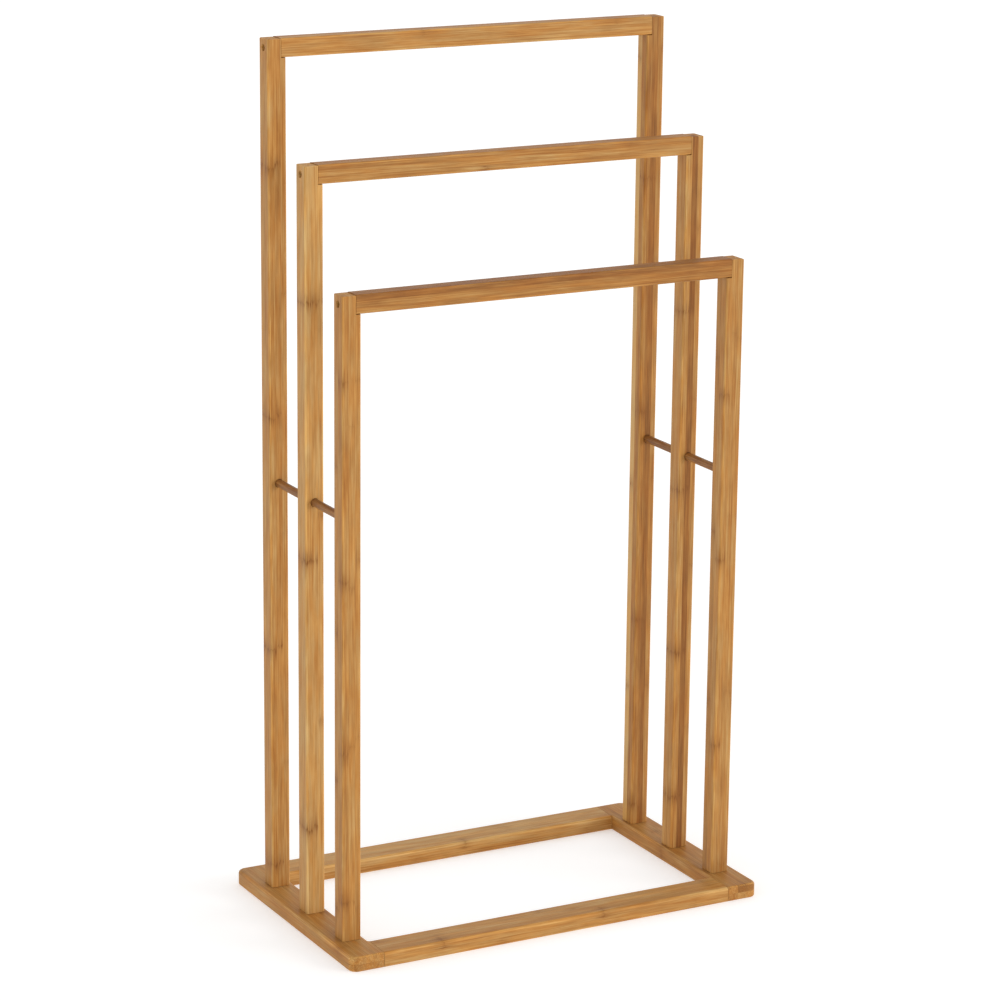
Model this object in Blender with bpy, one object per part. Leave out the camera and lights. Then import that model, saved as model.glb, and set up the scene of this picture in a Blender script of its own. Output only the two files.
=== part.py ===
"""Free-standing bamboo towel rack: three towel frames of stepped height on a flat base frame.

Metres, +Z up. +X runs along the towel bars, and -Y is the front, where the lowest frame stands.
The origin lies on the floor under the middle of the base frame.
"""

import math

import bmesh
import bpy
from mathutils import Matrix, Vector

# Base frame: two side boards that run front to back, with two rails butted between them.
BASE_WIDTH = 0.420
BASE_DEPTH = 0.250
BOARD_WIDTH = 0.032
BOARD_THICKNESS = 0.014
BASE_CORNER_RADIUS = 0.008
TOP_ROUNDOVER = 0.003
BOTTOM_ROUNDOVER = 0.0015
INNER_CORNER_RADIUS = 0.0006
INNER_CORNER_GROWTH = 1.6  # how fast the opening's corners round off as the roundover eats outwards
CORNER_STEPS = 5
ROUNDOVER_STEPS = 4

# Towel frames: two square posts with a towel bar let into a notch at their tops.
POST_SIDE = 0.018
POST_INSET = 0.0095  # from the base frame's outer edge to a post's outer face
POST_EDGE_RADIUS = 0.002
TIMBER_EDGE_STEPS = 3
END_EASE = 0.0006
FRONT_MARGIN = 0.038  # from the base frame's front edge to the front posts
FRAME_PITCH = 0.075
FRAME_HEIGHTS = {"front": 0.600, "middle": 0.700, "rear": 0.800}
BAR_HEIGHT = 0.017
BAR_PROUD = 0.0006  # how far a bar's top stands above the tops of its posts
NOTCH_DEPTH = 0.005

# A round rod on each side ties the three posts together at half the rear frame's height. It runs
# through the middle post into blind sockets in the other two.
ROD_RADIUS = 0.00375
ROD_HEIGHT = 0.400
ROD_SOCKET_DEPTH = 0.009
ROD_SIDES = 20

# Wood screws, as head radius, head height, shank radius, length under the top of the head.
BAR_SCREW = {"head": 0.0028, "cone": 0.0018, "shank": 0.00145, "length": 0.040}
POST_SCREW = {"head": 0.0038, "cone": 0.0026, "shank": 0.0018, "length": 0.048}
SCREW_POINT = 0.004
SCREW_SIDES = 16
HEAD_RIM = 0.0004
RECESS_ARM = 0.6  # of the head's radius
RECESS_WIDTH = 0.28
RECESS_DEPTH = 0.0014
RECESS_FLOOR = 0.45  # the cross's size at its floor and at its mouth, of its nominal size
RECESS_MOUTH = 1.10
BAR_SCREW_RECESS = 0.0025  # the head sits this deep in a counterbore on the post's outer face
POST_SCREW_RECESS = 0.0008
COUNTERBORE_RADIUS = 0.0032
COUNTERBORE_LIP = 0.0001

# Glued pins in the base frame's butt joints, two to a joint.
PIN_RADIUS = 0.003
PIN_LENGTH = 0.028
PIN_IN_BOARD = 0.012
PIN_SPREAD = 0.008
PIN_CHAMFER = 0.0006

GAP = 0.0003  # clearance between touching pieces
OVERRUN = 0.010  # how far a cutter runs past the face that it opens
SHARP_ANGLE = 35  # degrees
PARALLEL = 0.999  # cosine of the angle between an edge and an axis that it follows
SAME_PLACE = 1e-7

X, Y, Z = 0, 1, 2

SIDES = {"left": -1, "right": 1}
FRAMES = tuple(FRAME_HEIGHTS)
POST_X = BASE_WIDTH / 2 - POST_INSET - POST_SIDE / 2
FRAME_Y = {
    name: -BASE_DEPTH / 2 + FRONT_MARGIN + POST_SIDE / 2 + FRAME_PITCH * place
    for place, name in enumerate(FRAMES)
}
RAIL_HALF_LENGTH = BASE_WIDTH / 2 - BOARD_WIDTH
RAIL_Y = {"front": -(BASE_DEPTH - BOARD_WIDTH) / 2, "rear": (BASE_DEPTH - BOARD_WIDTH) / 2}


def clear_scene():
    for obj in list(bpy.data.objects):
        bpy.data.objects.remove(obj)


def material(name, colour, roughness, metallic=0.0):
    made = bpy.data.materials.new(name)
    made.use_nodes = True
    shader = made.node_tree.nodes["Principled BSDF"]
    shader.inputs["Base Color"].default_value = (*colour, 1.0)
    shader.inputs["Roughness"].default_value = roughness
    shader.inputs["Metallic"].default_value = metallic
    made.diffuse_color = (*colour, 1.0)
    return made


def add_object(name, bm, surface=None):
    """A named object holding the bmesh, with its normals facing out."""
    bmesh.ops.recalc_face_normals(bm, faces=bm.faces)
    mesh = bpy.data.meshes.new(name)
    bm.to_mesh(mesh)
    bm.free()
    if surface:
        mesh.materials.append(surface)
    obj = bpy.data.objects.new(name, mesh)
    bpy.context.scene.collection.objects.link(obj)
    return obj


def boolean(target, cutter, operation="DIFFERENCE"):
    """Applies one Boolean to the target's mesh, and removes the cutter."""
    modifier = target.modifiers.new("cut", "BOOLEAN")
    modifier.operation = operation
    modifier.object = cutter
    graph = bpy.context.evaluated_depsgraph_get()
    made = bpy.data.meshes.new_from_object(target.evaluated_get(graph))
    target.modifiers.clear()
    made.name = target.name
    target.data = made
    bpy.data.objects.remove(cutter)


def shade(obj):
    obj.data.shade_smooth()
    obj.data.set_sharp_from_angle(angle=math.radians(SHARP_ANGLE))


def box(low, high):
    """A closed bmesh box between two corners."""
    bm = bmesh.new()
    bmesh.ops.create_cube(bm, size=1.0)
    low, high = Vector(low), Vector(high)
    bmesh.ops.scale(bm, vec=high - low, verts=bm.verts)
    bmesh.ops.translate(bm, vec=(low + high) / 2, verts=bm.verts)
    return bm


def turned(profile, sides):
    """A closed bmesh turned about +Z from (radius, height) points, listed from its lower end up."""
    bm = bmesh.new()
    low, *middle, high = profile
    ends = [bm.verts.new((0, 0, low[1])), bm.verts.new((0, 0, high[1]))]
    rings = [
        [
            bm.verts.new((r * math.cos(turn), r * math.sin(turn), z))
            for turn in (math.tau * k / sides for k in range(sides))
        ]
        for r, z in middle
    ]
    for k in range(sides):
        after = (k + 1) % sides
        bm.faces.new((ends[0], rings[0][after], rings[0][k]))
        bm.faces.new((ends[1], rings[-1][k], rings[-1][after]))
        for lower, upper in zip(rings, rings[1:]):
            bm.faces.new((lower[k], lower[after], upper[after], upper[k]))
    return bm


def drill(obj, start, direction, profile, sides=SCREW_SIDES):
    """Cuts a turned hole whose axis starts at a point and runs along a direction."""
    bm = turned(profile, sides)
    turn = Vector((0, 0, 1)).rotation_difference(Vector(direction)).to_matrix().to_4x4()
    bmesh.ops.transform(bm, matrix=Matrix.Translation(start) @ turn, verts=bm.verts)
    boolean(obj, add_object("drill", bm))


def straight_hole(radius, depth):
    return [(0, -OVERRUN), (radius, -OVERRUN), (radius, depth), (0, depth)]


def edges_along(bm, axis):
    """The straight edges that run along one axis."""
    found = []
    for edge in bm.edges:
        run = (edge.verts[1].co - edge.verts[0].co).normalized()
        if abs(run[axis]) > PARALLEL:
            found.append(edge)
    return found


def edges_at(bm, axis, value):
    """The edges that lie wholly at one coordinate."""
    return [e for e in bm.edges if all(abs(v.co[axis] - value) < SAME_PLACE for v in e.verts)]


def bevel(bm, edges, radius, steps):
    bmesh.ops.bevel(bm, geom=edges, offset=radius, segments=steps, profile=0.5, affect="EDGES")


def rounded_rectangle(half_x, half_y, radius):
    """Corner arcs of a rectangle, anticlockwise from the +X +Y corner."""
    points = []
    for quarter, (sx, sy) in enumerate(((1, 1), (-1, 1), (-1, -1), (1, -1))):
        centre = Vector((sx * (half_x - radius), sy * (half_y - radius)))
        for step in range(CORNER_STEPS + 1):
            turn = math.pi / 2 * (quarter + step / CORNER_STEPS)
            points.append(centre + radius * Vector((math.cos(turn), math.sin(turn))))
    return points


def edge_stations():
    """(inset, height) down one rounded edge of a board, from its underside to its top face."""
    quarter = [math.pi / 2 * k / ROUNDOVER_STEPS for k in range(ROUNDOVER_STEPS + 1)]
    low = [(BOTTOM_ROUNDOVER * (1 - math.sin(a)), BOTTOM_ROUNDOVER * (1 - math.cos(a))) for a in quarter]
    shoulder = BOARD_THICKNESS - TOP_ROUNDOVER
    high = [(TOP_ROUNDOVER * (1 - math.cos(a)), shoulder + TOP_ROUNDOVER * math.sin(a)) for a in quarter]
    return low + high


def base_ring():
    """The whole base frame as one ring, rounded inside and out, before it is divided into boards."""
    bm = bmesh.new()
    half_x, half_y = BASE_WIDTH / 2, BASE_DEPTH / 2
    loops = []
    for inset, height in edge_stations():
        outline = rounded_rectangle(half_x - inset, half_y - inset, BASE_CORNER_RADIUS - inset)
        loops.append([bm.verts.new((*point, height)) for point in outline])
    for inset, height in reversed(edge_stations()):
        outline = rounded_rectangle(
            RAIL_HALF_LENGTH + inset,
            half_y - BOARD_WIDTH + inset,
            INNER_CORNER_RADIUS + INNER_CORNER_GROWTH * inset,
        )
        loops.append([bm.verts.new((*point, height)) for point in outline])
    for loop, following in zip(loops, loops[1:] + loops[:1]):
        for k in range(len(loop)):
            after = (k + 1) % len(loop)
            bm.faces.new((loop[k], loop[after], following[after], following[k]))
    return bm


def base_board(name, low, high, surface):
    """The part of the base ring between two plan corners."""
    obj = add_object(name, base_ring(), surface)
    keep = box((*low, -OVERRUN), (*high, BOARD_THICKNESS + OVERRUN))
    boolean(obj, add_object("keep", keep), "INTERSECT")
    return obj


def pin_places():
    """(name, point on the joint, direction into the rail, rail's end, side board) of each glued pin."""
    places = []
    for end, y in RAIL_Y.items():
        outward = math.copysign(1, y)
        for side, sign in SIDES.items():
            for label, offset in (("outer", PIN_SPREAD), ("inner", -PIN_SPREAD)):
                name = f"rail_pin_{end}_{side}_{label}"
                point = Vector((sign * RAIL_HALF_LENGTH, y + outward * offset, BOARD_THICKNESS / 2))
                places.append((name, point, Vector((-sign, 0, 0)), end, side))
    return places


def make_base(surface):
    half_x, half_y = BASE_WIDTH / 2 + OVERRUN, BASE_DEPTH / 2 + OVERRUN
    board_end, rail_end = RAIL_HALF_LENGTH + GAP / 2, RAIL_HALF_LENGTH - GAP / 2
    boards = {
        "left": base_board("base_side_left", (-half_x, -half_y), (-board_end, half_y), surface),
        "right": base_board("base_side_right", (board_end, -half_y), (half_x, half_y), surface),
        "front": base_board("base_rail_front", (-rail_end, -half_y), (rail_end, 0), surface),
        "rear": base_board("base_rail_rear", (-rail_end, 0), (rail_end, half_y), surface),
    }
    hole = PIN_RADIUS + GAP
    for _, point, direction, end, side in pin_places():
        drill(boards[side], point, -direction, straight_hole(hole, PIN_IN_BOARD + GAP))
        drill(boards[end], point, direction, straight_hole(hole, PIN_LENGTH - PIN_IN_BOARD + GAP))
    seat = screw_seat(POST_SCREW, POST_SCREW_RECESS, BOARD_THICKNESS + OVERRUN)
    for frame in FRAMES:
        for side, sign in SIDES.items():
            drill(boards[side], (sign * POST_X, FRAME_Y[frame], 0), (0, 0, 1), seat)
    for board in boards.values():
        shade(board)


def screw_seat(size, recess, depth, bore=None):
    """The hole for a screw: a bore for its head, the cone under the head and a straight shank hole."""
    wide = bore or size["head"] + GAP
    head = size["head"] + GAP
    shank = size["shank"] + GAP
    floor = recess + HEAD_RIM + GAP / 2
    profile = [(0, -OVERRUN), (wide, -OVERRUN), (wide, floor)]
    if wide > head:
        profile.append((head, floor + COUNTERBORE_LIP))
    return profile + [(shank, floor + size["cone"]), (shank, depth), (0, depth)]


def make_post(frame, side, surface):
    bar_top = FRAME_HEIGHTS[frame]
    x, y = SIDES[side] * POST_X, FRAME_Y[frame]
    half = POST_SIDE / 2
    foot, top = BOARD_THICKNESS + GAP, bar_top - BAR_PROUD
    bm = box((-half, -half, foot), (half, half, top))
    bevel(bm, edges_along(bm, Z), POST_EDGE_RADIUS, TIMBER_EDGE_STEPS)
    bevel(bm, edges_at(bm, Z, top), END_EASE, 1)
    bmesh.ops.translate(bm, vec=(x, y, 0), verts=bm.verts)
    post = add_object(f"post_{frame}_{side}", bm, surface)

    inward = -SIDES[side]
    face, past = x + inward * (half - NOTCH_DEPTH), x + inward * (half + OVERRUN)
    low = (min(face, past), y - half - OVERRUN, bar_top - BAR_HEIGHT - GAP)
    high = (max(face, past), y + half + OVERRUN, top + OVERRUN)
    boolean(post, add_object("notch", box(low, high)))

    outer = (x - inward * half, y, bar_top - BAR_HEIGHT / 2)
    seat = screw_seat(BAR_SCREW, BAR_SCREW_RECESS, POST_SIDE, COUNTERBORE_RADIUS)
    drill(post, outer, (inward, 0, 0), seat)

    bite = POST_SCREW["length"] + POST_SCREW_RECESS - foot
    drill(post, (x, y, foot), (0, 0, 1), straight_hole(POST_SCREW["shank"] + GAP, bite + GAP))

    socket, through = ROD_SOCKET_DEPTH + GAP, POST_SIDE + OVERRUN
    into, depth = {"front": (-1, socket), "middle": (1, through), "rear": (1, socket)}[frame]
    hole = straight_hole(ROD_RADIUS + GAP, depth)
    drill(post, (x, y - into * half, ROD_HEIGHT), (0, into, 0), hole, ROD_SIDES)
    shade(post)


def make_bar(frame, surface):
    top = FRAME_HEIGHTS[frame]
    y, half = FRAME_Y[frame], POST_SIDE / 2
    reach = POST_X - half + NOTCH_DEPTH - GAP
    bm = box((-reach, y - half, top - BAR_HEIGHT), (reach, y + half, top))
    bevel(bm, edges_along(bm, X), POST_EDGE_RADIUS, TIMBER_EDGE_STEPS)
    bar = add_object(f"towel_bar_{frame}", bm, surface)
    bite = BAR_SCREW["length"] + BAR_SCREW_RECESS - (POST_SIDE - NOTCH_DEPTH) - GAP
    for sign in SIDES.values():
        end = (sign * reach, y, top - BAR_HEIGHT / 2)
        drill(bar, end, (-sign, 0, 0), straight_hole(BAR_SCREW["shank"] + GAP, bite + GAP))
    shade(bar)


def make_rod(side, surface):
    length = 2 * FRAME_PITCH - POST_SIDE + 2 * ROD_SOCKET_DEPTH
    r, ease = ROD_RADIUS, END_EASE
    profile = [(0, 0), (r - ease, 0), (r, ease), (r, length - ease), (r - ease, length), (0, length)]
    bm = turned(profile, ROD_SIDES)
    turn = Matrix.Rotation(math.radians(-90), 4, "X")
    bmesh.ops.transform(bm, matrix=turn, verts=bm.verts)
    rod = add_object(f"spacer_rod_{side}", bm, surface)
    start = FRAME_Y["front"] + POST_SIDE / 2 - ROD_SOCKET_DEPTH
    rod.location = (SIDES[side] * POST_X, start, ROD_HEIGHT)
    shade(rod)


def cross_recess(size):
    """The cross that a screwdriver fits, as a tapering plus with its mouth above the head."""
    arm, half = size["head"] * RECESS_ARM, size["head"] * RECESS_WIDTH / 2
    quarter = [Vector((arm, -half)), Vector((arm, half)), Vector((half, half))]
    outline = [Matrix.Rotation(math.pi / 2 * k, 2) @ p for k in range(4) for p in quarter]
    bm = bmesh.new()
    floor = [bm.verts.new((*(p * RECESS_FLOOR), RECESS_DEPTH)) for p in outline]
    mouth = [bm.verts.new((*(p * RECESS_MOUTH), -HEAD_RIM)) for p in outline]
    bm.faces.new(floor)
    bm.faces.new(reversed(mouth))
    for k in range(len(outline)):
        after = (k + 1) % len(outline)
        bm.faces.new((mouth[k], mouth[after], floor[after], floor[k]))
    return bm


def screw_mesh(name, size, surface):
    """A countersunk wood screw. Its head's flat top is at the origin and its point lies along +Z."""
    head, shank, length = size["head"], size["shank"], size["length"]
    profile = [
        (0, 0),
        (head, 0),
        (head, HEAD_RIM),
        (shank, HEAD_RIM + size["cone"]),
        (shank, length - SCREW_POINT),
        (0, length),
    ]
    screw = add_object(name, turned(profile, SCREW_SIDES), surface)
    boolean(screw, add_object("recess", cross_recess(size)))
    shade(screw)
    mesh = screw.data
    bpy.data.objects.remove(screw)
    return mesh


def place(name, mesh, point, direction):
    """A named copy of a mesh whose +Z is turned along a direction."""
    obj = bpy.data.objects.new(name, mesh)
    bpy.context.scene.collection.objects.link(obj)
    obj.location = point
    obj.rotation_mode = "QUATERNION"
    obj.rotation_quaternion = Vector((0, 0, 1)).rotation_difference(Vector(direction))
    return obj


def make_fasteners(steel, wood):
    bar_screw = screw_mesh("bar_screw", BAR_SCREW, steel)
    post_screw = screw_mesh("post_screw", POST_SCREW, steel)
    outer = POST_X + POST_SIDE / 2 - BAR_SCREW_RECESS
    for frame, height in FRAME_HEIGHTS.items():
        for side, sign in SIDES.items():
            head = (sign * outer, FRAME_Y[frame], height - BAR_HEIGHT / 2)
            place(f"bar_screw_{frame}_{side}", bar_screw, head, (-sign, 0, 0))
            foot = (sign * POST_X, FRAME_Y[frame], POST_SCREW_RECESS)
            place(f"post_screw_{frame}_{side}", post_screw, foot, (0, 0, 1))

    r, c, back = PIN_RADIUS, PIN_CHAMFER, PIN_IN_BOARD
    front = PIN_LENGTH - back
    profile = [(0, -back), (r - c, -back), (r, c - back), (r, front - c), (r - c, front), (0, front)]
    pin = add_object("pin", turned(profile, SCREW_SIDES), wood)
    shade(pin)
    for name, point, direction, _, _ in pin_places():
        place(name, pin.data, point, direction)
    bpy.data.objects.remove(pin)


def main():
    clear_scene()
    bamboo = material("bamboo", (0.47, 0.23, 0.06), 0.50)
    dowel = material("bamboo_dowel", (0.27, 0.12, 0.035), 0.45)
    steel = material("bronzed_steel", (0.16, 0.10, 0.06), 0.40, metallic=0.9)
    make_base(bamboo)
    for frame in FRAMES:
        for side in SIDES:
            make_post(frame, side, bamboo)
        make_bar(frame, bamboo)
    for side in SIDES:
        make_rod(side, dowel)
    make_fasteners(steel, dowel)


main()
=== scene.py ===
"""The finished looks of a bamboo towel rack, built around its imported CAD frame.

Metres, +Z up, -Y to the front. Every wooden piece is glued up from bamboo strips, and each strip has
its own tone and its own knuckles, the joints that bamboo has along its stem.
"""

import math
import random

import bmesh
import bpy
from mathutils import Matrix, Vector


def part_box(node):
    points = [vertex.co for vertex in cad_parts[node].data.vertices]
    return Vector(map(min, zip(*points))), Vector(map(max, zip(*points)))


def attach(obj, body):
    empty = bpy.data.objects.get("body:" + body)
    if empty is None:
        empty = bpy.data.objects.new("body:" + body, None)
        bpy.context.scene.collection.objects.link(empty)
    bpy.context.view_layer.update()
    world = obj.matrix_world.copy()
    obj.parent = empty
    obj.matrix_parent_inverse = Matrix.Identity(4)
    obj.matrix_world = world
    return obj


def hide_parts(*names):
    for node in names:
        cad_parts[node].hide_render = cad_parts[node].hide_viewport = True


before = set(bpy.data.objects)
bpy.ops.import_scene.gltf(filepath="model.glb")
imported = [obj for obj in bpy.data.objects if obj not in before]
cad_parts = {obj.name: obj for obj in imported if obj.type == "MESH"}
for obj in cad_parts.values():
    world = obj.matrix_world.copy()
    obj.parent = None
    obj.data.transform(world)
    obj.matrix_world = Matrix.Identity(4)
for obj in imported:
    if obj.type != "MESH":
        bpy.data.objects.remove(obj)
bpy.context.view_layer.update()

BODY = "root"
FRAMES = ("front", "middle", "rear")
SIDES = {"left": -1, "right": 1}
ENDS = ("front", "rear")
PINS = ("outer", "inner")
X, Y, Z = 0, 1, 2

# Joinery, as in the CAD solids.
GAP = 0.0003
OVERRUN = 0.010
TIMBER_RADIUS = 0.002
TIMBER_STEPS = 6
END_EASE = 0.0006
END_EASE_STEPS = 3
BOARD_CORNER = 0.008
BOARD_CORNER_STEPS = 14
TOP_ROUNDOVER = 0.003
BOTTOM_ROUNDOVER = 0.0015
ROUNDOVER_STEPS = 7
INNER_CORNER = 0.0006
INNER_CORNER_GROWTH = 1.6
COUNTERBORE = 0.0032
HOLE_SIDES = 40
PARALLEL = 0.999
SAME_PLACE = 1e-7

# One post's outer top edge is sanded rounder than the others.
SANDED_POST = ("front", "right")
SANDED_RADIUS = 0.0026
SANDED_STEPS = 7

# Screws.
SHANK = {"post_screw": 0.0018, "bar_screw": 0.00145}
HEAD_RIM = 0.0004
RECESS_ARM = 0.60  # of the head's radius
RECESS_WIDTH = 0.26
RECESS_DEPTH = 0.0014
RECESS_FLOOR = 0.45  # the cross's size at its floor and at its mouth, of its nominal size
RECESS_MOUTH = 1.10
THREAD_PITCH = 0.0016
THREAD_DEPTH = 0.0005
THREAD_SIDES = 24
THREAD_RINGS_PER_TURN = 7
THREAD_CREST = 0.25  # share of a turn from the ridge's top to its foot
POINT_LENGTH = 0.004
PLAIN_SHANK = 0.30  # share of a screw's length with no thread
PIN_FLUTES = 14
PIN_SIDES_PER_FLUTE = 4
FLUTE_DEPTH = 0.00022
ROD_RINGS = 12

# Edges that bend by more than these angles, in degrees, are shaded as sharp.
SHARP_EDGE = 30
SHARP_SCREW_EDGE = 40

# How each kind of piece is glued up: strip thickness and width.
POST_STRIP = (0.0060, 0.0090)
BAR_STRIP = (0.0057, 0.0090)
BOARD_STRIP = (0.0070, 0.0107)

# Strips whose knuckles matter to the front view, as {piece: {(layer, strip): (first knuckle, internode
# length, growth of each next internode, strength)}}. Lengths are from the piece's low end.
CULMS = {
    "post_front_left": {
        (0, 0): (0.037, 0.128, 0.020, 0.8),
        (1, 0): (0.037, 0.145, 0.000, 0.5),
        (2, 0): (0.030, 0.161, 0.000, 0.4),
        (0, 1): (0.028, 0.113, 0.015, 0.9),
    },
    "post_front_right": {
        (0, 0): (0.126, 0.192, -0.025, 0.8),
        (1, 0): (0.008, 0.170, 0.000, 0.4),
        (2, 0): (0.010, 0.168, 0.000, 0.4),
        (0, 1): (0.005, 0.163, 0.000, 0.7),
    },
    "post_middle_left": {
        (0, 0): (0.081, 0.261, -0.019, 1.0),
        (1, 0): (0.083, 0.260, -0.019, 0.8),
        (2, 0): (0.183, 0.192, 0.000, 0.5),
        (0, 1): (0.084, 0.260, -0.019, 0.8),
    },
    "post_middle_right": {
        (0, 0): (0.051, 0.138, 0.013, 1.0),
        (1, 0): (0.053, 0.139, 0.013, 1.1),
        (2, 0): (0.121, 0.160, 0.000, 0.5),
        (0, 1): (0.051, 0.138, 0.013, 0.8),
    },
    "post_rear_left": {
        (0, 0): (0.022, 0.203, 0.009, 1.0),
        (1, 0): (0.024, 0.204, 0.009, 0.9),
        (2, 0): (0.121, 0.219, 0.000, 0.5),
        (0, 1): (0.022, 0.204, 0.009, 0.9),
    },
    "post_rear_right": {
        (0, 0): (0.208, 0.196, 0.018, 0.8),
        (1, 0): (0.206, 0.197, 0.018, 0.7),
        (2, 0): (0.141, 0.205, 0.000, 0.5),
        (0, 1): (0.138, 0.203, 0.000, 0.6),
    },
    "towel_bar_front": {
        (0, 0): (0.090, 0.240, 0.000, 0.2),
        (1, 0): (0.020, 0.240, 0.000, 0.3),
        (2, 0): (0.200, 0.240, 0.000, 0.2),
    },
    "towel_bar_middle": {
        (0, 0): (0.164, 0.250, 0.000, 0.8),
        (1, 0): (0.060, 0.250, 0.000, 0.2),
        (2, 0): (0.310, 0.240, 0.000, 0.3),
    },
    "towel_bar_rear": {
        (0, 0): (0.230, 0.240, 0.000, 0.2),
        (1, 0): (0.090, 0.240, 0.000, 0.2),
        (2, 0): (0.140, 0.197, 0.000, 0.5),
    },
    "base_rail_front": {
        (1, 0): (0.059, 0.164, 0.000, 0.9),
        (0, 0): (0.120, 0.200, 0.000, 0.4),
        (1, 1): (0.059, 0.142, 0.000, 0.4),
    },
}

# Tones that differ from piece to piece, from dark -1 to light 1, and single strips that stand out. Some top
# strips carry painted light instead: painted shade on the bars' tops, a painted sheen on the base rails'
# tops.
PIECE_TONES = {
    "post_front_left": 0.05,
    "post_front_right": -0.10,
    "post_middle_left": 0.50,
    "post_middle_right": 0.05,
    "post_rear_left": 0.25,
    "post_rear_right": 0.15,
    "towel_bar_front": -0.60,
    "towel_bar_middle": 0.10,
    "towel_bar_rear": 0.25,
    "base_rail_front": 0.0,
    "base_rail_rear": 0.15,
    "base_side_left": -0.10,
    "base_side_right": 0.0,
}
STRIP_TONES_AND_PAINTED_LIGHT = {
    ("post_middle_right", 1, 0): -1.4,
    ("post_rear_right", 1, 0): -1.3,
    ("post_rear_right", 0, 0): -0.7,
    ("post_rear_right", 0, 1): 0.9,
    # Painted shade: the bars' top strips are darker, as their tops would look under dim light from above.
    # This also darkens the top of each bar's front and back.
    ("towel_bar_front", 2, 0): -0.5,
    ("towel_bar_front", 2, 1): -0.6,
    ("towel_bar_middle", 2, 0): -0.5,
    ("towel_bar_middle", 2, 1): -1.0,
    ("towel_bar_rear", 2, 0): -0.3,
    ("towel_bar_rear", 2, 1): -0.8,
    # Painted sheen: the base rails' top strips are lighter, in place of the bright room's reflection on their
    # tops. This also lightens the upper half of the rails' edges.
    ("base_rail_front", 1, 1): 0.25,
    ("base_rail_front", 1, 2): 0.25,
    ("base_rail_rear", 1, 0): 0.3,
    ("base_rail_rear", 1, 1): 0.6,
    ("base_rail_rear", 1, 2): 0.6,
}
# Strips whose end grain is darker than the rest, and by how much.
END_TONES = {
    ("base_side_right", 1, 1): 0.70,
    ("base_side_right", 1, 2): 0.70,
    ("base_side_left", 0, 0): 0.30,
}
TONE_SPREAD = 0.22
# The ranges that a strip draws its seed from, and its knuckles where CULMS doesn't place them.
SEEDS = (0, 40)
INTERNODES = (0.150, 0.230)
GROWTHS = (0, 0.010)
STRENGTHS = (0.3, 0.7)
END_GRAIN_COSINE = 0.75  # a face that points along the grain by this much is an end
UNDER_SKIN = 1e-5  # from a face to a point that is surely inside its strip

# Bamboo, from the coarsest to the finest: features per metre across and along the grain, and how much
# each changes the shade.
GRAIN = {
    "drift": (120, 26, 0.6),
    "broad": (330, 8, 0.4),
    "streak": (900, 13, 0.6),
    "fine": (1900, 22, 1.1),
}
SEED_SHIFTS = (0.7, 1.3)  # times its seed, how far a strip's grain is moved on its second axis and lengthwise
MEAN_SHADE = 0.56
TONE_WEIGHT = 0.30
SKIN_WEIGHT = 0.04  # a strip's skin side is darker
BUNDLE_SCALE = (1150, 1150, 14)
BUNDLE_EDGE = (0.12, 0.42)
BUNDLE_WEIGHT = 0.10
HUE_SCALE = (150, 22)
HUE_EDGE = (0.35, 0.65)
WARM = (1.04, 0.96, 0.80)
OLIVE = (0.97, 1.04, 1.14)
LAYER_GLUE = 0.018  # a glue line's reach from its middle, as a share of a layer and of a strip
STRIP_GLUE = 0.010
GLUE_WEIGHT = 0.35
END_WEIGHT = 0.30  # how much darker an end is, and how much its own tone and its bundles add
END_TONE_WEIGHT = 0.60
END_BUNDLE_WEIGHT = 0.15
FIBRE_ROUGHNESS = 0.12
END_ROUGHNESS = 0.08
SPECULAR = 0.20
RELIEF = {"fibres": 0.5, "bundle": 0.35, "glue": 0.8, "knuckle": 0.6}
BUMP_DEPTH = 0.00006

# Knuckles, as a streaky halo, a scar and a thin ring. The wander is how far a knuckle's edge strays.
KNUCKLE_RAGGED = (600, 70)
KNUCKLE_WANDER = 0.012
KNUCKLE_PATCHES = (900, 34)
PATCH_EDGE = (0.34, 0.66)
HALO_WIDTH = 0.0085
HALO_PATCHINESS = 0.85
HALO_WEIGHT = 0.75
SCAR_WIDTH = 0.0020
SCAR_PATCHINESS = 0.80
SCAR_WEIGHT = 0.30
RING_WIDTH = 0.0006
RING_WEIGHT = 0.22

# Colours are linear. Those of a ramp run from its darkest stop to its lightest.
BAMBOO_TONES = [
    (0.0, (0.190, 0.066, 0.012)),
    (0.30, (0.360, 0.150, 0.032)),
    (0.55, (0.505, 0.243, 0.060)),
    (1.0, (0.760, 0.475, 0.175)),
]
BAMBOO_KNUCKLE = (0.215, 0.078, 0.014)
BAMBOO_ROUGHNESS = 0.50
ROD_TONES = [
    (0.0, (0.110, 0.038, 0.009)),
    (0.30, (0.190, 0.073, 0.018)),
    (0.55, (0.270, 0.118, 0.034)),
    (1.0, (0.440, 0.240, 0.080)),
]
ROD_KNUCKLE = (0.120, 0.042, 0.011)
ROD_ROUGHNESS = 0.42
STEEL_TONES = [(0.3, (0.045, 0.026, 0.014)), (0.7, (0.12, 0.072, 0.036))]
STEEL_PATCHES = (900, 900)
STEEL_METALLIC = 0.85
STEEL_ROUGHNESS = 0.30
PATCH_ROUGHNESS = 0.25
STEEL_BUMP_DEPTH = 0.00003
FLOOR_TONES = [(0.3, (0.80, 0.80, 0.80)), (0.7, (0.82, 0.82, 0.82))]
FLOOR_MOTTLE = (3, 3)
FLOOR_ROUGHNESS = 0.9

# Studio light. 1 is white.
HORIZON = 1.0
ZENITH = 0.75
ZENITH_RISE = (0.20, 1.0)  # heights on a unit dome where the light starts and ends to change
KEY_DIRECTION = (0.85, -0.80, 0.25)
KEY_STRENGTH = 1.26
KEY_SOFTNESS = 30  # degrees
FLOOR_GLOW = 0.34
FLOOR_RADIUS = 45.0
FLOOR_SIDES = 96

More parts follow.
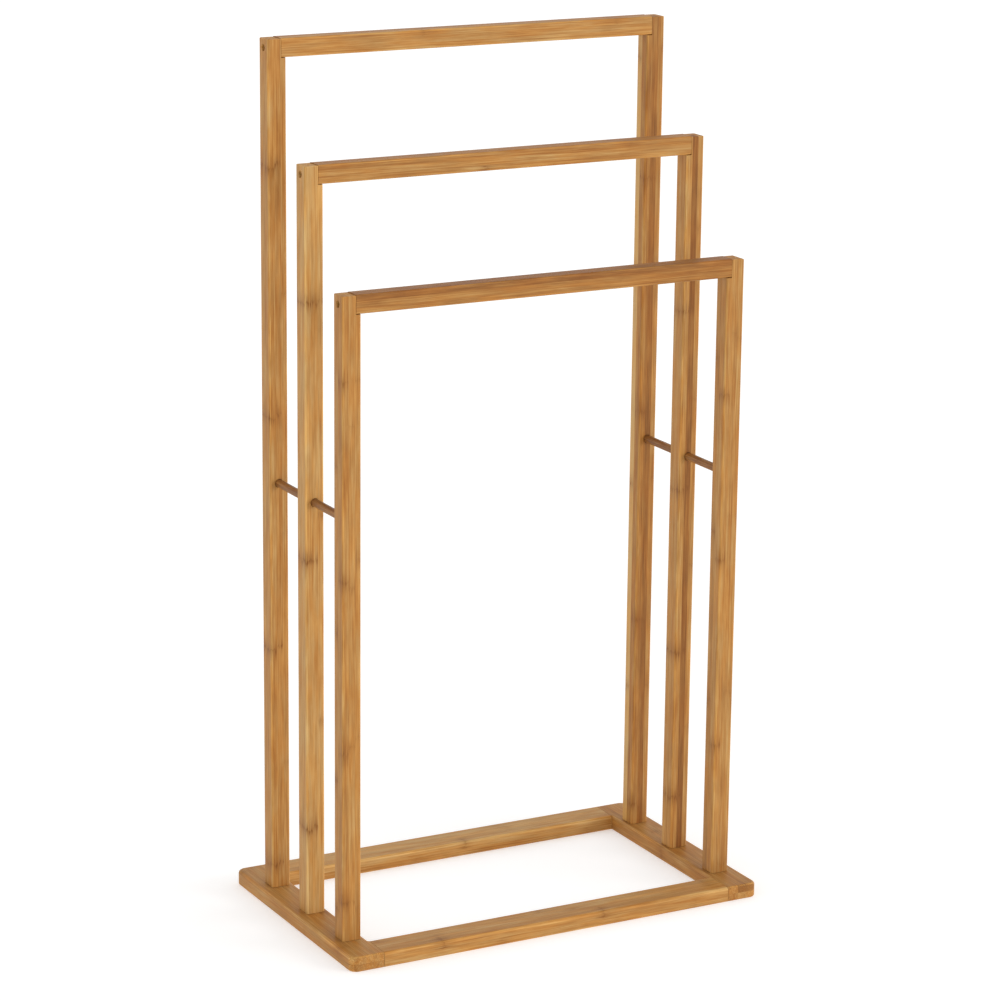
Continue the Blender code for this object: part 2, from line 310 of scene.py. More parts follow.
# The camera, with its turns in degrees from a level view along +Y, and its lens and sensor in millimetres.
CAMERA_PLACE = (-1.5044, -2.8020, 1.2230)
CAMERA_YAW = 28.24
CAMERA_PITCH = -14.90
CAMERA_ROLL = 0.61
LENS = 130.1
SENSOR = 36.0
VIEW_DISTANCE = 200.0

# ---------------------------------------------------------------- meshes


def add_object(name, bm):
    """A named object that holds the bmesh, with its normals facing out."""
    bmesh.ops.recalc_face_normals(bm, faces=bm.faces)
    mesh = bpy.data.meshes.new(name)
    bm.to_mesh(mesh)
    bm.free()
    obj = bpy.data.objects.new(name, mesh)
    bpy.context.scene.collection.objects.link(obj)
    return obj


def boolean(target, cutter, operation="DIFFERENCE"):
    """Applies one Boolean to the target's mesh, and removes the cutter."""
    modifier = target.modifiers.new("cut", "BOOLEAN")
    modifier.operation = operation
    modifier.object = cutter
    graph = bpy.context.evaluated_depsgraph_get()
    made = bpy.data.meshes.new_from_object(target.evaluated_get(graph))
    target.modifiers.clear()
    made.name = target.name
    target.data = made
    bpy.data.objects.remove(cutter)


def box(low, high):
    """A box between two opposite corners."""
    bm = bmesh.new()
    bmesh.ops.create_cube(bm, size=1.0)
    low, high = Vector(low), Vector(high)
    bmesh.ops.scale(bm, vec=high - low, verts=bm.verts)
    bmesh.ops.translate(bm, vec=(low + high) / 2, verts=bm.verts)
    return bm


def turned(profile, sides, radius_at=None):
    """A closed bmesh turned about +Z from (radius, height) points, listed from its lower end up.

    radius_at(radius, height, turn) may change a point's radius, as a thread or a flute does.
    """
    bm = bmesh.new()
    low, *middle, high = profile
    ends = [bm.verts.new((0, 0, low[1])), bm.verts.new((0, 0, high[1]))]
    rings = []
    for r, z in middle:
        ring = []
        for k in range(sides):
            turn = math.tau * k / sides
            reach = radius_at(r, z, turn) if radius_at else r
            ring.append(bm.verts.new((reach * math.cos(turn), reach * math.sin(turn), z)))
        rings.append(ring)
    for k in range(sides):
        after = (k + 1) % sides
        bm.faces.new((ends[0], rings[0][after], rings[0][k]))
        bm.faces.new((ends[1], rings[-1][k], rings[-1][after]))
        for lower, upper in zip(rings, rings[1:]):
            bm.faces.new((lower[k], lower[after], upper[after], upper[k]))
    return bm


def middle(node):
    """The middle of the space that a CAD node holds."""
    low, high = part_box(node)
    return (low + high) / 2


def along(direction):
    """The turn from +Z to a direction."""
    return Vector((0, 0, 1)).rotation_difference(Vector(direction)).to_matrix().to_4x4()


def drill(obj, start, direction, profile):
    """Cuts a turned hole whose axis starts at a point and runs along a direction."""
    bm = turned(profile, HOLE_SIDES)
    bmesh.ops.transform(bm, matrix=Matrix.Translation(start) @ along(direction), verts=bm.verts)
    boolean(obj, add_object("drill", bm))


def straight_hole(radius, depth):
    """The profile of a hole of one radius, which starts well outside the piece."""
    return [(0, -OVERRUN), (radius, -OVERRUN), (radius, depth), (0, depth)]


def screw_seat(head, shank, recess, depth, bore):
    """The hole for a screw: a counterbore, the cone under the head and a straight shank hole."""
    floor = recess + HEAD_RIM + GAP / 2
    foot = floor + head - shank
    counterbore = [(0, -OVERRUN), (bore, -OVERRUN), (bore, floor)]
    return counterbore + [(shank + GAP, foot), (shank + GAP, depth), (0, depth)]


def edges_along(bm, axis):
    """The straight edges that run along one axis."""
    found = []
    for edge in bm.edges:
        run = (edge.verts[1].co - edge.verts[0].co).normalized()
        if abs(run[axis]) > PARALLEL:
            found.append(edge)
    return found


def edges_at(bm, axis, value):
    """The edges that lie in one plane across an axis."""
    return [e for e in bm.edges if all(abs(v.co[axis] - value) < SAME_PLACE for v in e.verts)]


def bevel(bm, edges, radius, steps):
    """Rounds some edges."""
    bmesh.ops.bevel(bm, geom=edges, offset=radius, segments=steps, profile=0.5, affect="EDGES")


def split(bm, axis, value):
    """Divides the faces that cross one plane, so that a glue line is an edge of the mesh."""
    normal = [0.0, 0.0, 0.0]
    normal[axis] = 1.0
    point = [value * n for n in normal]
    geometry = bm.verts[:] + bm.edges[:] + bm.faces[:]
    bmesh.ops.bisect_plane(bm, geom=geometry, dist=SAME_PLACE, plane_co=point, plane_no=normal)


# ---------------------------------------------------------------- laminated bamboo


def store(mesh, name, domain, values):
    """Adds one vector for each face or each point of a mesh, for a material to read."""
    made = mesh.attributes.new(name, "FLOAT_VECTOR", domain)
    for item, value in zip(made.data, values):
        item.vector = value


class Layup:
    """How a piece is glued up: its grain's axis, and the axes that its layers and its strips stack along."""

    def __init__(self, node, grain, layer_axis, strip_axis, size):
        self.node, self.grain = node, grain
        self.low, self.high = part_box(node)
        self.stacks = []
        for axis, thickness in zip((layer_axis, strip_axis), size):
            span = self.high[axis] - self.low[axis]
            self.stacks.append((axis, round(span / thickness), span))

    def planes(self):
        """(axis, position) of each glue plane."""
        found = []
        for axis, count, span in self.stacks:
            found += [(axis, self.low[axis] + span * k / count) for k in range(1, count)]
        return found

    def split(self, bm):
        """Divides a mesh along every glue plane."""
        for axis, value in self.planes():
            split(bm, axis, value)

    def cell(self, face):
        """Which layer and which strip a face is on."""
        point = face.center - face.normal * UNDER_SKIN
        planes = self.planes()
        return tuple(sum(point[a] > value for a, value in planes if a == axis) for axis, _, _ in self.stacks)

    def strip(self, cell):
        """(tone, seed, knuckle strength) and (first knuckle, internode, half the growth) of one strip."""
        draw = random.Random(f"{self.node}/{cell}")
        tone = PIECE_TONES.get(self.node, 0.0) + draw.uniform(-TONE_SPREAD, TONE_SPREAD)
        # For some top strips this tone is painted light: painted shade on the bars, a painted sheen on the
        # base rails.
        tone += STRIP_TONES_AND_PAINTED_LIGHT.get((self.node, *cell), 0.0)
        seed = draw.uniform(*SEEDS)
        internode = draw.uniform(*INTERNODES)
        culm = (draw.uniform(0, internode), internode, draw.uniform(*GROWTHS), draw.uniform(*STRENGTHS))
        first, internode, growth, strength = CULMS.get(self.node, {}).get(cell, culm)
        return (tone, seed, strength), (first, internode, growth / 2)

    def write(self, mesh):
        """Stores what the bamboo material reads: each face's strip, and each point's place in the grain."""
        cells = [self.cell(face) for face in mesh.polygons]
        strips = {cell: self.strip(cell) for cell in set(cells)}
        store(mesh, "strip", "FACE", [strips[cell][0] for cell in cells])
        store(mesh, "culm", "FACE", [strips[cell][1] for cell in cells])
        ends = []
        for face, cell in zip(mesh.polygons, cells):
            on_end = abs(face.normal[self.grain]) > END_GRAIN_COSINE
            ends.append((1.0 + END_TONES.get((self.node, *cell), 0.0) if on_end else 0.0, 0, 0))
        store(mesh, "end_grain", "FACE", ends)
        grain, layup = [], []
        for vertex in mesh.vertices:
            place = vertex.co - self.low
            grain.append((*(place[axis] for axis, _, _ in self.stacks), place[self.grain]))
            layup.append((*(place[axis] / span * count for axis, count, span in self.stacks), 0))
        store(mesh, "grain", "POINT", grain)
        store(mesh, "layup", "POINT", layup)


def finish_piece(obj, node, material, sharp=SHARP_EDGE):
    """Shades a piece, gives it its material, and puts it in the place of its CAD node."""
    obj.data.shade_smooth()
    obj.data.set_sharp_from_angle(angle=math.radians(sharp))
    obj.data.materials.clear()
    obj.data.materials.append(material)
    obj.name = f"{node}.fine"
    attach(obj, BODY)
    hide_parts(node)
    weighted = obj.modifiers.new("flat faces stay flat", "WEIGHTED_NORMAL")
    weighted.keep_sharp = True


# ---------------------------------------------------------------- the wooden pieces


def rounded_rectangle(half_x, half_y, radius):
    """The outline of a rectangle about the origin, with round corners."""
    points = []
    for quarter, (sx, sy) in enumerate(((1, 1), (-1, 1), (-1, -1), (1, -1))):
        centre = Vector((sx * (half_x - radius), sy * (half_y - radius)))
        for step in range(BOARD_CORNER_STEPS + 1):
            turn = math.pi / 2 * (quarter + step / BOARD_CORNER_STEPS)
            points.append(centre + radius * Vector((math.cos(turn), math.sin(turn))))
    return points


def edge_stations(thickness):
    """(inset, height) up the rounded edges of a board, from its underside to its top face."""
    quarter = [math.pi / 2 * k / ROUNDOVER_STEPS for k in range(ROUNDOVER_STEPS + 1)]
    low = [(BOTTOM_ROUNDOVER * (1 - math.sin(a)), BOTTOM_ROUNDOVER * (1 - math.cos(a))) for a in quarter]
    shoulder = thickness - TOP_ROUNDOVER
    high = [(TOP_ROUNDOVER * (1 - math.cos(a)), shoulder + TOP_ROUNDOVER * math.sin(a)) for a in quarter]
    return low + high


def base_ring(outer, inner, thickness):
    """The whole base frame as one ring, rounded inside and out, before it is divided into boards."""
    bm = bmesh.new()
    loops = []
    stations = edge_stations(thickness)
    for inset, height in stations:
        outline = rounded_rectangle(outer.x - inset, outer.y - inset, BOARD_CORNER - inset)
        loops.append([bm.verts.new((*point, height)) for point in outline])
    for inset, height in reversed(stations):
        radius = INNER_CORNER + INNER_CORNER_GROWTH * inset
        outline = rounded_rectangle(inner.x + inset, inner.y + inset, radius)
        loops.append([bm.verts.new((*point, height)) for point in outline])
    for loop, following in zip(loops, loops[1:] + loops[:1]):
        for k in range(len(loop)):
            after = (k + 1) % len(loop)
            bm.faces.new((loop[k], loop[after], following[after], following[k]))
    return bm


def base_layup(node, along_y):
    """A base board's strips, which run the board's length."""
    return Layup(node, Y, Z, X, BOARD_STRIP) if along_y else Layup(node, X, Z, Y, BOARD_STRIP)


def make_base(material):
    """The four boards. Each is cut from the whole ring, so that their rounded edges meet."""
    side_low, side_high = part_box("base_side_right")
    rail_low, rail_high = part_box("base_rail_rear")
    outer, thickness = Vector(side_high.xy), side_high.z
    inner = Vector(((side_low.x + rail_high.x) / 2, rail_low.y))
    boards = {}
    for key, kind in [(side, "side") for side in SIDES] + [(end, "rail") for end in ENDS]:
        node = f"base_{kind}_{key}"
        layup = base_layup(node, kind == "side")
        bm = base_ring(outer, inner, thickness)
        layup.split(bm)
        board = add_object(node, bm)
        grow = Vector((0, OVERRUN, OVERRUN))
        keep_low, keep_high = layup.low - grow, layup.high + grow
        if kind == "side":
            edge = keep_low if SIDES[key] < 0 else keep_high
            edge.x += SIDES[key] * OVERRUN
        boolean(board, add_object("keep", box(keep_low, keep_high)), "INTERSECT")
        boards[key] = (board, layup)

    for end in ENDS:
        for side, sign in SIDES.items():
            for label in PINS:
                pin = f"rail_pin_{end}_{side}_{label}"
                low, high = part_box(pin)
                seam = middle(pin)
                seam.x = sign * inner.x
                radius = (high.z - low.z) / 2 + GAP
                for key, into in ((side, sign), (end, -sign)):
                    reach = abs((high.x if into > 0 else low.x) - seam.x) + GAP
                    drill(boards[key][0], seam, (into, 0, 0), straight_hole(radius, reach))
    for frame_name in FRAMES:
        for side in SIDES:
            screw = f"post_screw_{frame_name}_{side}"
            low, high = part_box(screw)
            head = (high.x - low.x) / 2
            mouth = middle(screw)
            mouth.z = 0
            seat = screw_seat(head, SHANK["post_screw"], low.z, thickness + OVERRUN, head + GAP)
            drill(boards[side][0], mouth, (0, 0, 1), seat)
    for board, layup in boards.values():
        layup.write(board.data)
        finish_piece(board, layup.node, material)


def make_post(frame_name, side, material):
    """A square post, with its notch for the bar and its holes for two screws and the rod."""
    node = f"post_{frame_name}_{side}"
    sign = SIDES[side]
    layup = Layup(node, Z, X, Y, POST_STRIP)
    low, high = layup.low, layup.high
    face, inside = (low.x, high.x) if sign < 0 else (high.x, low.x)
    bm = box(low, high)
    bevel(bm, edges_along(bm, Z), TIMBER_RADIUS, TIMBER_STEPS)
    bevel(bm, edges_at(bm, Z, high.z), END_EASE, END_EASE_STEPS)
    layup.split(bm)
    post = add_object(node, bm)
    if (frame_name, side) == SANDED_POST:
        bm = box(low - Vector((OVERRUN, OVERRUN, OVERRUN)), high + Vector((0, OVERRUN, 0)))
        corner = [e for e in edges_along(bm, Y) if all(v.co.x > inside and v.co.z > low.z for v in e.verts)]
        bevel(bm, corner, SANDED_RADIUS, SANDED_STEPS)
        boolean(post, add_object("sanding", bm), "INTERSECT")

    bar_low, bar_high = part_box(f"towel_bar_{frame_name}")
    shoulder = (bar_low.x if sign < 0 else bar_high.x) + sign * GAP
    past = inside - sign * OVERRUN
    notch_low = (min(shoulder, past), low.y - OVERRUN, bar_low.z - GAP)
    notch_high = (max(shoulder, past), high.y + OVERRUN, high.z + OVERRUN)
    boolean(post, add_object("notch", box(notch_low, notch_high)))

    bar_screw = f"bar_screw_{frame_name}_{side}"
    screw_low, screw_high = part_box(bar_screw)
    recess = abs((screw_low.x if sign < 0 else screw_high.x) - face)
    head = (screw_high.y - screw_low.y) / 2
    seat = screw_seat(head, SHANK["bar_screw"], recess, high.x - low.x, COUNTERBORE)
    mouth = middle(bar_screw)
    mouth.x = face
    drill(post, mouth, (-sign, 0, 0), seat)

    foot_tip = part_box(f"post_screw_{frame_name}_{side}")[1].z
    foot = middle(node)
    foot.z = low.z
    drill(post, foot, (0, 0, 1), straight_hole(SHANK["post_screw"] + GAP, foot_tip - low.z + GAP))

    rod = f"spacer_rod_{side}"
    rod_low, rod_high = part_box(rod)
    start = middle(rod)
    start.y = max(rod_low.y - GAP, low.y - OVERRUN)
    length = min(rod_high.y + GAP, high.y + OVERRUN) - start.y
    radius = (rod_high.z - rod_low.z) / 2 + GAP
    drill(post, start, (0, 1, 0), [(0, 0), (radius, 0), (radius, length), (0, length)])
    layup.write(post.data)
    finish_piece(post, node, material)


def make_bar(frame_name, material):
    """A towel bar, with a hole in each end for its screw."""
    node = f"towel_bar_{frame_name}"
    layup = Layup(node, X, Z, Y, BAR_STRIP)
    low, high = layup.low, layup.high
    bm = box(low, high)
    bevel(bm, edges_along(bm, X), TIMBER_RADIUS, TIMBER_STEPS)
    layup.split(bm)
    bar = add_object(node, bm)
    for side, sign in SIDES.items():
        screw = f"bar_screw_{frame_name}_{side}"
        screw_low, screw_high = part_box(screw)
        end, tip = (low.x, screw_high.x) if sign < 0 else (high.x, screw_low.x)
        start = middle(screw)
        start.x = end
        drill(bar, start, (-sign, 0, 0), straight_hole(SHANK["bar_screw"] + GAP, abs(tip - end) + GAP))
    layup.write(bar.data)
    finish_piece(bar, node, material)


def make_dowel(node, axis, profile, sides, material, radius_at=None):
    """A round wooden piece that lies along an axis, from a profile that starts at its low end."""
    low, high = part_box(node)
    other = X if axis == Y else Y
    start = middle(node)
    start[axis] = low[axis]
    direction = [0.0, 0.0, 0.0]
    direction[axis] = 1.0
    bm = turned(profile, sides, radius_at)
    bmesh.ops.transform(bm, matrix=Matrix.Translation(start) @ along(direction), verts=bm.verts)
    dowel = add_object(node, bm)
    width = high.z - low.z
    Layup(node, axis, other, Z, (width, width)).write(dowel.data)
    finish_piece(dowel, node, material)


def make_rod(side, material):
    """One side's rod, which runs through the middle post and into the front and the rear one."""
    node = f"spacer_rod_{side}"
    low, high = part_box(node)
    radius, length = (high.z - low.z) / 2, high.y - low.y
    straight = length - 2 * END_EASE
    profile = [(0, 0), (radius - END_EASE, 0)]
    profile += [(radius, END_EASE + straight * k / ROD_RINGS) for k in range(ROD_RINGS + 1)]
    profile += [(radius - END_EASE, length), (0, length)]
    make_dowel(node, Y, profile, HOLE_SIDES, material)


def make_pin(end, side, label, material):
    """A fluted pin of one of the base frame's butt joints."""
    node = f"rail_pin_{end}_{side}_{label}"
    low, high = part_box(node)
    radius, length = (high.z - low.z) / 2, high.x - low.x
    profile = [(0, 0), (radius - END_EASE, 0), (radius, END_EASE)]
    profile += [(radius, length - END_EASE), (radius - END_EASE, length), (0, length)]

    def fluted(r, _height, turn):
        return r - FLUTE_DEPTH * (1 + math.cos(PIN_FLUTES * turn)) / 2

    make_dowel(node, X, profile, PIN_FLUTES * PIN_SIDES_PER_FLUTE, material, fluted)


# ---------------------------------------------------------------- screws


def cross_recess(head):
    """The cross that a screwdriver fits, as a tapering plus with its mouth above the head."""
    arm, half = head * RECESS_ARM, head * RECESS_WIDTH / 2
    quarter = [Vector((arm, -half)), Vector((arm, half)), Vector((half, half))]
    outline = [Matrix.Rotation(math.pi / 2 * k, 2) @ p for k in range(4) for p in quarter]
    bm = bmesh.new()
    floor = [bm.verts.new((*(p * RECESS_FLOOR), RECESS_DEPTH)) for p in outline]
    mouth = [bm.verts.new((*(p * RECESS_MOUTH), -HEAD_RIM)) for p in outline]
    bm.faces.new(floor)
    bm.faces.new(reversed(mouth))
    for k in range(len(outline)):
        after = (k + 1) % len(outline)
        bm.faces.new((mouth[k], mouth[after], floor[after], floor[k]))
    return bm


def screw_bmesh(head, shank, length):
    """A threaded countersunk wood screw with its head's top at the origin and its point along +Z."""
    cone = HEAD_RIM + head - shank
    chamfer_width, chamfer_depth = HEAD_RIM / 3, HEAD_RIM / 2
    thread_start = length * PLAIN_SHANK
    step = THREAD_PITCH / THREAD_RINGS_PER_TURN
    rings = int((length - POINT_LENGTH - thread_start) / step)
    profile = [(0, 0), (head - chamfer_width, 0), (head, chamfer_depth), (head, HEAD_RIM), (shank, cone)]
    profile += [(shank, thread_start + step * k) for k in range(rings + 1)]
    taper_start = profile[-1][1]
    tip_rings = int((length - taper_start) / step)
    for k in range(1, tip_rings):
        profile.append((shank * (1 - k / tip_rings), taper_start + step * k))
    profile.append((0, length))

    def threaded(r, height, turn):
        if height < thread_start:
            return r
        phase = (height / THREAD_PITCH - turn / math.tau) % 1.0
        ridge = max(0.0, 1 - abs(phase - 0.5) / THREAD_CREST)
        ease = min(1.0, (height - thread_start) / THREAD_PITCH)
        return r * (1 - THREAD_DEPTH / shank * (1 - ridge) * ease)

    return turned(profile, THREAD_SIDES, threaded)


def make_screw(kind, place, direction, material):
    """A screw of either kind, with its recess turned by a chance angle."""
    node = f"{kind}_{place}"
    low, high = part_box(node)
    axis, other = (Z, X) if direction[Z] else (X, Z)
    head, length = (high[other] - low[other]) / 2, high[axis] - low[axis]
    start = middle(node)
    start[axis] = low[axis] if direction[axis] > 0 else high[axis]
    screw = add_object(node, screw_bmesh(head, SHANK[kind], length))
    boolean(screw, add_object("recess", cross_recess(head)))
    spin = random.Random(node).uniform(0, math.pi / 2)
    screw.data.transform(Matrix.Translation(start) @ along(direction) @ Matrix.Rotation(spin, 4, "Z"))
    finish_piece(screw, node, material, sharp=SHARP_SCREW_EDGE)


# ---------------------------------------------------------------- materials


class Signal:
    """A shader value that can be used in sums. Each operation adds one Math node."""

    def __init__(self, tree, socket):
        self.tree, self.socket = tree, socket

    def math(self, operation, *others):
        node = self.tree.nodes.new("ShaderNodeMath")
        node.operation = operation
        for place, value in zip(node.inputs, (self, *others)):
            feed(self.tree, place, value)
        return Signal(self.tree, node.outputs[0])

    def __add__(self, other):
        return self.math("ADD", other)

    def __sub__(self, other):
        return self.math("SUBTRACT", other)

    def __mul__(self, other):
        return self.math("MULTIPLY", other)

    def __truediv__(self, other):
        return self.math("DIVIDE", other)

    __radd__, __rmul__ = __add__, __mul__

    def __rsub__(self, other):
        return self * -1.0 + other

    def bell(self, width):
        """1 where the value is 0, falling to nothing a few widths away."""
        return ((self / width).math("POWER", 2.0) * -1.0).math("EXPONENT")

    def step(self, low, high):
        """A smooth step from 0 at low to 1 at high."""
        node = self.tree.nodes.new("ShaderNodeMapRange")
        node.interpolation_type = "SMOOTHSTEP"
        feed(self.tree, node.inputs["Value"], self)
        node.inputs["From Min"].default_value = low
        node.inputs["From Max"].default_value = high
        return Signal(self.tree, node.outputs["Result"])


def feed(tree, place, value):
    """Wires a signal or a socket into an input, or sets it to a plain value."""
    if isinstance(value, Signal):
        tree.links.new(value.socket, place)
    elif isinstance(value, bpy.types.NodeSocket):
        tree.links.new(value, place)
    else:
        place.default_value = value


def vector(tree, operation, *values):
    node = tree.nodes.new("ShaderNodeVectorMath")
    node.operation = operation
    for place, value in zip(node.inputs, values):
        feed(tree, place, value)
    return node.outputs[0]


def combine(tree, *parts):
    node = tree.nodes.new("ShaderNodeCombineXYZ")
    for place, value in zip(node.inputs, parts):
        feed(tree, place, value)
    return node.outputs[0]


def attribute(tree, name):
    """The three parts of a mesh attribute, and the attribute as a vector."""
    node = tree.nodes.new("ShaderNodeAttribute")
    node.attribute_name = name
    parts = tree.nodes.new("ShaderNodeSeparateXYZ")
    tree.links.new(node.outputs["Vector"], parts.inputs[0])
    return [Signal(tree, out) for out in parts.outputs], node.outputs["Vector"]


def object_place(tree):
    """Where a shaded point is on its object."""
    return tree.nodes.new("ShaderNodeTexCoord").outputs["Object"]


def noise(tree, place, across, length, detail=3.0, roughness=0.5):
    """Noise from 0 to 1, with its own number of features per metre across and along the grain."""
    node = tree.nodes.new("ShaderNodeTexNoise")
    scaled = vector(tree, "MULTIPLY", place, (across, across, length))
    tree.links.new(scaled, node.inputs["Vector"])
    node.inputs["Scale"].default_value = 1.0
    node.inputs["Detail"].default_value = detail
    node.inputs["Roughness"].default_value = roughness
    return Signal(tree, node.outputs["Fac"])


def colour_ramp(tree, factor, stops):
    node = tree.nodes.new("ShaderNodeValToRGB")
    feed(tree, node.inputs[0], factor)
    elements = node.color_ramp.elements
    while len(elements) < len(stops):
        elements.new(0.5)
    for element, (position, colour) in zip(elements, stops):
        element.position = position
        element.color = (*colour, 1.0)
    return node.outputs["Color"]


def mix(tree, factor, first, second, blend="MIX"):
    """A mix of two colours. The Mix node has one set of sockets for each type, so these go by number."""
    node = tree.nodes.new("ShaderNodeMix")
    node.data_type, node.blend_type = "RGBA", blend
    feed(tree, node.inputs["Factor"], factor)
    for place, value in ((node.inputs[6], first), (node.inputs[7], second)):
        feed(tree, place, (*value, 1.0) if isinstance(value, tuple) else value)
    return node.outputs[2]


def new_material(name):
    made = bpy.data.materials.new(name)
    made.use_nodes = True
    shader = made.node_tree.nodes["Principled BSDF"]
    return made, made.node_tree, shader


def bump(tree, shader, height, distance):
    node = tree.nodes.new("ShaderNodeBump")
    node.inputs["Strength"].default_value = 1.0
    node.inputs["Distance"].default_value = distance
    feed(tree, node.inputs["Height"], height)
    tree.links.new(node.outputs["Normal"], shader.inputs["Normal"])


def knuckle_marks(tree, place, length, culm, strength):
    """How marked the wood is by the strip's nearest knuckle: a streaky halo, a scar and a thin ring."""
    first, internode, curve = culm
    ragged = noise(tree, place, *KNUCKLE_RAGGED, detail=2.0) - 0.5
    level = length + ragged * KNUCKLE_WANDER
    # Knuckle number k stands at first + internode * k + curve * k * k. Solve for k, and take the nearest.
    root = ((level - first) * curve * 4.0 + internode * internode).math("MAXIMUM", 0.0).math("SQRT")
    number = ((level - first) * 2.0 / (internode + root)).math("ROUND")
    distance = level - (first + internode * number + curve * number * number)
    patchy = noise(tree, place, *KNUCKLE_PATCHES).step(*PATCH_EDGE)
    halo = distance.bell(HALO_WIDTH) * (patchy * HALO_PATCHINESS + (1 - HALO_PATCHINESS))
    scar = (distance + SCAR_WIDTH / 2).bell(SCAR_WIDTH) * (patchy * SCAR_PATCHINESS + (1 - SCAR_PATCHINESS))
    ring = distance.bell(RING_WIDTH)
    return (halo * HALO_WEIGHT + scar * SCAR_WEIGHT + ring * RING_WEIGHT) * strength


def fibre_bundles(tree, place):
    """Long thin spindles, which show as dots on an end and as streaks on a side."""
    spindles = tree.nodes.new("ShaderNodeTexVoronoi")
    spindles.inputs["Scale"].default_value = 1.0
    tree.links.new(vector(tree, "MULTIPLY", place, BUNDLE_SCALE), spindles.inputs["Vector"])
    return 1.0 - Signal(tree, spindles.outputs["Distance"]).step(*BUNDLE_EDGE)


def glue_lines(layer, strip):
    """1 on a glue line, where a piece's count of layers or of strips passes a whole number."""
    between_layers = layer.math("PINGPONG", 0.5).bell(LAYER_GLUE)
    between_strips = strip.math("PINGPONG", 0.5).bell(STRIP_GLUE)
    return between_layers.math("MAXIMUM", between_strips)


def bamboo_material(name, tones, knuckle_colour, roughness):
    """Lacquered bamboo: fibres, bundles, knuckles, glue lines and end grain, from the mesh attributes."""
    made, tree, shader = new_material(name)
    (tone, seed, strength), _ = attribute(tree, "strip")
    culm, _ = attribute(tree, "culm")
    (_, _, length), place = attribute(tree, "grain")
    (layer, strip, _), _ = attribute(tree, "layup")
    (end_grain, _, _), _ = attribute(tree, "end_grain")
    second, lengthwise = SEED_SHIFTS
    place = vector(tree, "ADD", place, combine(tree, seed, seed * second, seed * lengthwise))
    knuckle = knuckle_marks(tree, place, length, culm, strength)
    bundle = fibre_bundles(tree, place)
    glue = glue_lines(layer, strip)

    shade = tone * TONE_WEIGHT + MEAN_SHADE
    for across, lengthwise, weight in GRAIN.values():
        fibres = noise(tree, place, across, lengthwise, roughness=0.6)
        shade = shade + (fibres - 0.5) * weight
    shade = shade - bundle * BUNDLE_WEIGHT - (layer.math("FRACT") - 0.5) * SKIN_WEIGHT
    colour = colour_ramp(tree, shade, tones)
    hue = noise(tree, place, *HUE_SCALE).step(*HUE_EDGE)
    colour = mix(tree, 1.0, colour, mix(tree, hue, WARM, OLIVE), "MULTIPLY")
    colour = mix(tree, knuckle.math("MINIMUM", 1.0), colour, knuckle_colour)
    colour = mix(tree, glue * GLUE_WEIGHT, colour, knuckle_colour)
    # The attribute is 0 on a side, 1 on an end, and more on a darker end.
    darkness = (end_grain - 1.0) * END_TONE_WEIGHT + bundle * END_BUNDLE_WEIGHT + END_WEIGHT
    dark_ends = mix(tree, darkness, colour, knuckle_colour)
    colour = mix(tree, end_grain.math("MINIMUM", 1.0), colour, dark_ends)
    tree.links.new(colour, shader.inputs["Base Color"])

    # The last of the grain's layers is the finest, and it is the one that the lacquer shows.
    rough = (fibres - 0.5) * FIBRE_ROUGHNESS + end_grain * END_ROUGHNESS + roughness
    feed(tree, shader.inputs["Roughness"], rough)
    shader.inputs["Specular IOR Level"].default_value = SPECULAR
    relief = fibres * RELIEF["fibres"] - bundle * RELIEF["bundle"]
    relief = relief - glue * RELIEF["glue"] - knuckle * RELIEF["knuckle"]
    bump(tree, shader, relief, BUMP_DEPTH)
    return made


def steel_material():
    """Bronzed screw steel, with the marks of its coating."""
    made, tree, shader = new_material("bronzed steel")
    patches = noise(tree, object_place(tree), *STEEL_PATCHES)
    tree.links.new(colour_ramp(tree, patches, STEEL_TONES), shader.inputs["Base Color"])
    shader.inputs["Metallic"].default_value = STEEL_METALLIC
    feed(tree, shader.inputs["Roughness"], patches * PATCH_ROUGHNESS + STEEL_ROUGHNESS)
    bump(tree, shader, patches, STEEL_BUMP_DEPTH)
    return made


def floor_material():
    """A matt floor that glows a little, so that it is as white as what is behind it."""
    made, tree, shader = new_material("pale floor")
    mottle = noise(tree, object_place(tree), *FLOOR_MOTTLE)
    tree.links.new(colour_ramp(tree, mottle, FLOOR_TONES), shader.inputs["Base Color"])
    shader.inputs["Roughness"].default_value = FLOOR_ROUGHNESS
    shader.inputs["Specular IOR Level"].default_value = 0.0
    shader.inputs["Emission Color"].default_value = (1.0, 1.0, 1.0, 1.0)
    shader.inputs["Emission Strength"].default_value = FLOOR_GLOW
    return made


# ---------------------------------------------------------------- studio


def make_floor():
    bm = bmesh.new()
    bmesh.ops.create_circle(bm, cap_ends=True, segments=FLOOR_SIDES, radius=FLOOR_RADIUS)
    floor = add_object("floor", bm)
    floor.data.materials.append(floor_material())


def sun(name, direction, strength, softness):
    """A soft light that comes from one direction, so that the whole floor gets the same of it."""
    light = bpy.data.lights.new(name, "SUN")
    light.energy, light.angle = strength, math.radians(softness)
    obj = bpy.data.objects.new(name, light)
    bpy.context.scene.collection.objects.link(obj)
    obj.rotation_euler = Vector(direction).to_track_quat("Z", "Y").to_euler()


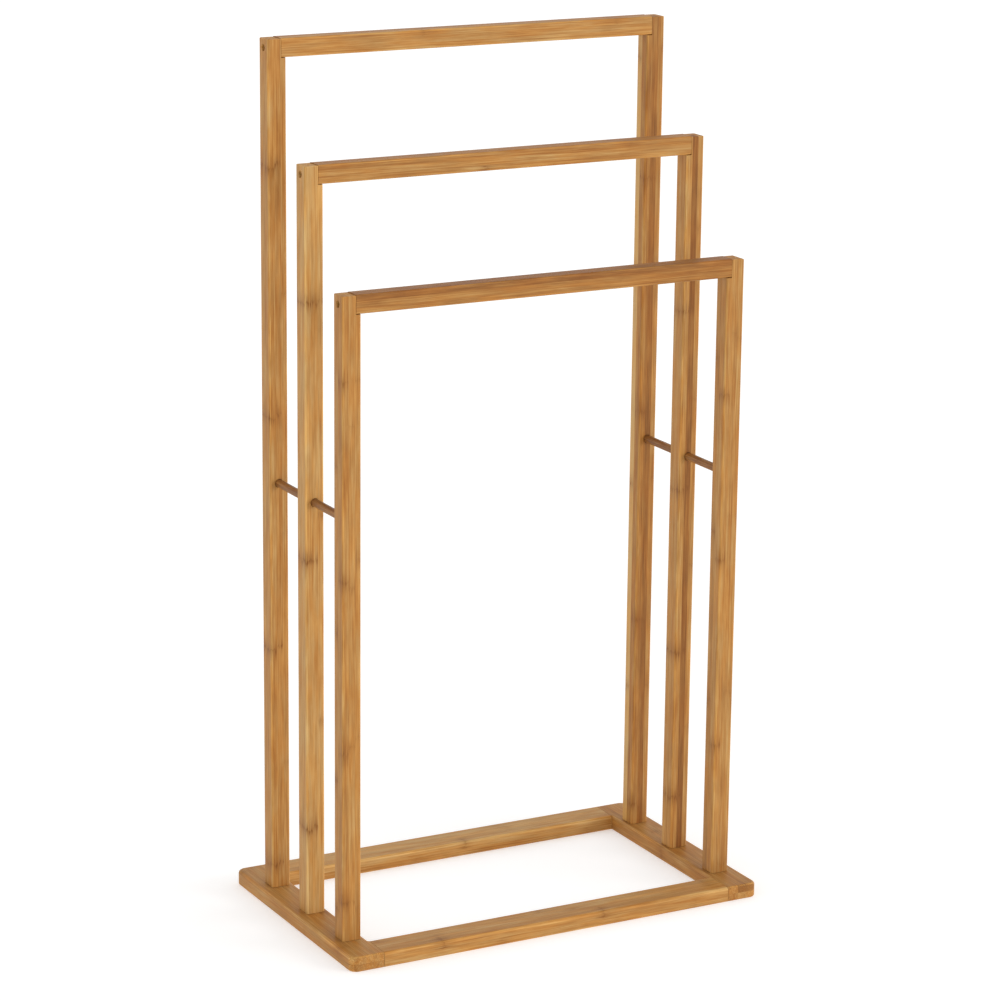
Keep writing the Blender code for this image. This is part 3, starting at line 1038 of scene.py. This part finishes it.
def make_world():
    """A studio that is bright all round and darker overhead."""
    world = bpy.data.worlds.new("studio")
    world.use_nodes = True
    tree = world.node_tree
    direction = tree.nodes.new("ShaderNodeTexCoord").outputs["Generated"]
    parts = tree.nodes.new("ShaderNodeSeparateXYZ")
    tree.links.new(direction, parts.inputs[0])
    overhead = Signal(tree, parts.outputs["Z"]).step(*ZENITH_RISE)
    background = tree.nodes["Background"]
    background.inputs["Color"].default_value = (1.0, 1.0, 1.0, 1.0)
    feed(tree, background.inputs["Strength"], overhead * (ZENITH - HORIZON) + HORIZON)
    bpy.context.scene.world = world


def make_lights():
    sun("key", KEY_DIRECTION, KEY_STRENGTH, KEY_SOFTNESS)
    make_world()
    bpy.context.scene.view_settings.view_transform = "Standard"


def make_camera():
    """A long lens from the front left, above the rack."""
    yaw, pitch, roll = (math.radians(turn) for turn in (CAMERA_YAW, CAMERA_PITCH, CAMERA_ROLL))
    view = Vector((math.sin(yaw) * math.cos(pitch), math.cos(yaw) * math.cos(pitch), math.sin(pitch)))
    level = Vector((math.cos(yaw), -math.sin(yaw), 0))
    rise = level.cross(view)
    right = math.cos(roll) * level + math.sin(roll) * rise
    up = math.cos(roll) * rise - math.sin(roll) * level
    data = bpy.data.cameras.new("camera")
    data.sensor_width = SENSOR
    data.lens = LENS
    data.clip_end = VIEW_DISTANCE
    camera = bpy.data.objects.new("camera", data)
    bpy.context.scene.collection.objects.link(camera)
    turn = Matrix((right, up, -view)).transposed().to_4x4()
    camera.matrix_world = Matrix.Translation(CAMERA_PLACE) @ turn
    bpy.context.scene.camera = camera


def main():
    bamboo = bamboo_material("lacquered bamboo", BAMBOO_TONES, BAMBOO_KNUCKLE, BAMBOO_ROUGHNESS)
    rod = bamboo_material("rod bamboo", ROD_TONES, ROD_KNUCKLE, ROD_ROUGHNESS)
    steel = steel_material()
    make_base(bamboo)
    for frame_name in FRAMES:
        for side, sign in SIDES.items():
            make_post(frame_name, side, bamboo)
            make_screw("bar_screw", f"{frame_name}_{side}", (-sign, 0, 0), steel)
            make_screw("post_screw", f"{frame_name}_{side}", (0, 0, 1), steel)
        make_bar(frame_name, bamboo)
    for side in SIDES:
        make_rod(side, rod)
        for end in ENDS:
            for label in PINS:
                make_pin(end, side, label, rod)
    make_floor()
    make_lights()
    make_camera()


main()
